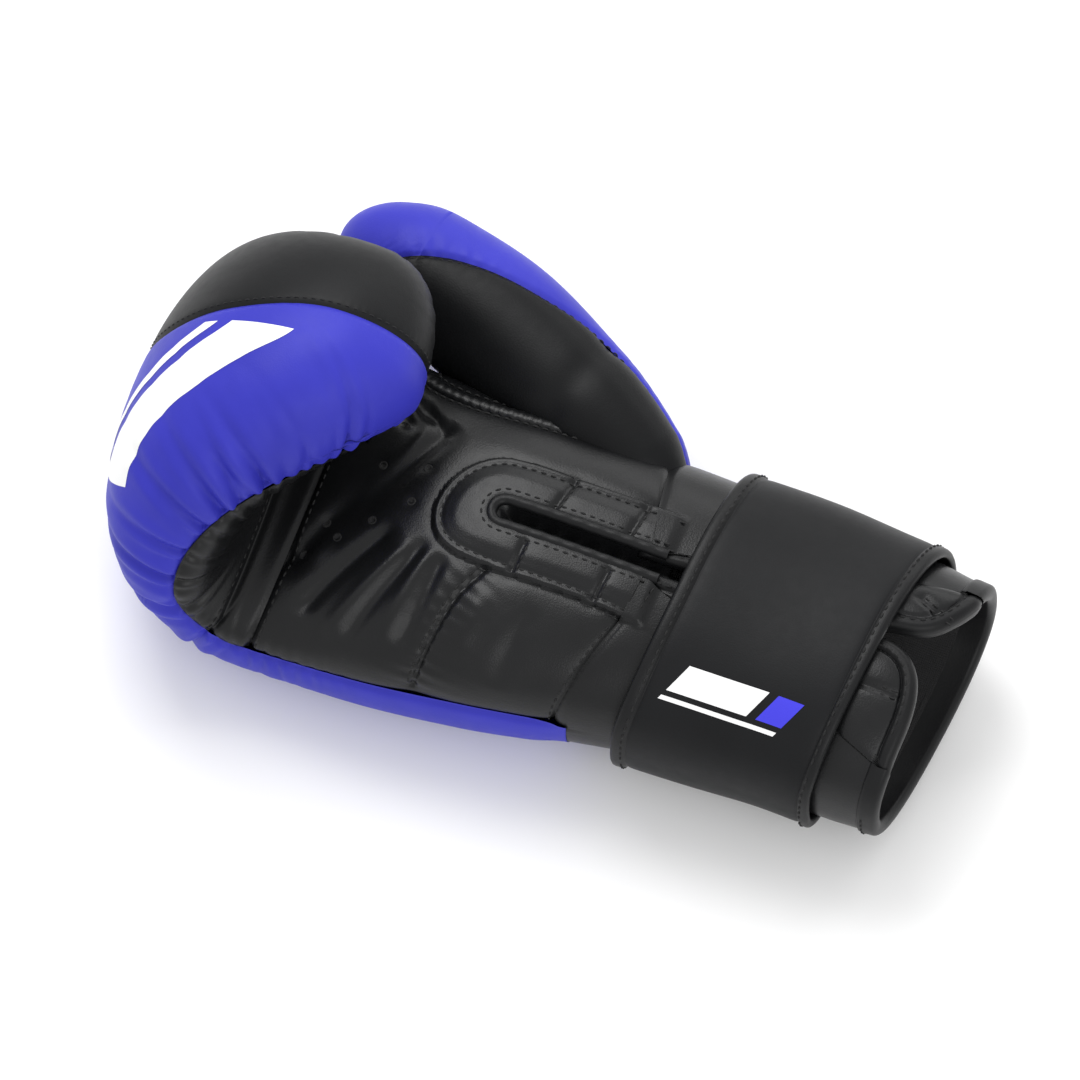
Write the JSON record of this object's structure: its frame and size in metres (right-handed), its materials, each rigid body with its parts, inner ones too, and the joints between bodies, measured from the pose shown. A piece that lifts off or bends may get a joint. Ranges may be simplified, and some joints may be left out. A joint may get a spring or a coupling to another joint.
{
  "type": "boxing glove",
  "caption": "Right-hand padded boxing glove with a curled fist, attached thumb, slit palm, bound cuff flaps and a wide hook-and-loop wrist strap.",
  "frame": {"origin": "middle of the base of the glove's box, on the surface it lies on with its back down", "axes": "+X from the fist to the cuff, +Y to the thumb side, +Z from the back of the hand to the palm"},
  "size_m": [0.3074, 0.178, 0.1315],
  "materials": {
    "blue_leather": "matte",
    "black_leather": "satin",
    "white_print": "matte",
    "foam": "matte",
    "hook_and_loop": "matte",
    "lining_fabric": "matte",
    "webbing": "matte",
    "binding_tape": "satin"
  },
  "bodies": {
    "hand": {"back_shell": "blue_leather", "fist_side_panel": "black_leather", "finger_panel": "black_leather", "palm_panel": "black_leather", "heel_panel": "black_leather", "knuckle_foam": "foam", "palm_foam": "foam", "finger_foam": "foam", "hand_lining": "lining_fabric", "grip_bar": "foam", "slit_patch": "black_leather", "slit_gusset": "black_leather", "thumb_welt": "black_leather", "thumb_throat": "lining_fabric", "cuff_panel": "black_leather", "cuff_foam": "foam", "cuff_binding": "binding_tape", "loop_patch": "hook_and_loop", "strap_anchor_face": "black_leather", "strap_anchor_backing": "webbing", "fist_stripe": "white_print"},
    "thumb": {"thumb_outer_shell": "blue_leather", "thumb_inner_panel": "black_leather", "thumb_foam": "foam", "thumb_lining": "lining_fabric"},
    "strap_panel": {"strap_panel_face": "black_leather", "strap_panel_backing": "webbing", "strap_panel_binding_fist": "binding_tape", "strap_panel_binding_cuff": "binding_tape", "strap_mark": "white_print"},
    "strap_side": {"strap_side_face": "black_leather", "strap_side_backing": "webbing", "strap_side_binding_fist": "binding_tape", "strap_side_binding_cuff": "binding_tape"},
    "strap_tail": {"strap_tail_face": "black_leather", "strap_tail_hook_patch": "hook_and_loop", "strap_tail_binding_fist": "binding_tape", "strap_tail_binding_cuff": "binding_tape"},
    "flap_thumb": {"flap_thumb_panel": "black_leather", "flap_thumb_foam": "foam", "flap_thumb_lining": "lining_fabric", "flap_thumb_binding": "binding_tape"},
    "flap_pinky": {"flap_pinky_panel": "black_leather", "flap_pinky_foam": "foam", "flap_pinky_lining": "lining_fabric", "flap_pinky_binding": "binding_tape"}
  },
  "joints": [
    {"name": "strap_open", "type": "hinge", "parent": "hand", "child": "strap_panel", "pos_m": [0.09542, 0.0339, 0.05137], "axis": [-1, 0, 0], "range_deg": [0, 50]},
    {"name": "strap_side_fold", "type": "hinge", "parent": "strap_panel", "child": "strap_side", "pos_m": [0.0847, -0.07704, 0.05354], "axis": [-1, 0, 0], "range_deg": [0, 104]},
    {"name": "strap_tail_fold", "type": "hinge", "parent": "strap_side", "child": "strap_tail", "pos_m": [0.08432, -0.0715, 0.01535], "axis": [-1, 0, 0], "range_deg": [0, 66]},
    {"name": "flap_thumb_fold", "type": "hinge", "parent": "hand", "child": "flap_thumb", "pos_m": [0.0882, -0.0027, 0.06905], "axis": [-0.9622, -0.2577, 0.0885], "range_deg": [0, 8.5]},
    {"name": "flap_pinky_fold", "type": "hinge", "parent": "hand", "child": "flap_pinky", "pos_m": [0.08445, -0.0423, 0.06848], "axis": [0.9369, -0.3358, -0.097], "range_deg": [0, 11.5]},
    {"name": "thumb_flex", "type": "hinge", "parent": "hand", "child": "thumb", "pos_m": [0.0402, 0.0215, 0.044], "axis": [0, 0, -1], "range_deg": [0, 5]}
  ],
  "couplings": [
    {"joint": "strap_side_fold", "follows": "strap_open", "ratio": 2},
    {"joint": "strap_tail_fold", "follows": "strap_open", "ratio": 1.2},
    {"joint": "flap_thumb_fold", "follows": "strap_open", "ratio": 0.15},
    {"joint": "flap_pinky_fold", "follows": "strap_open", "ratio": 0.2}
  ]
}
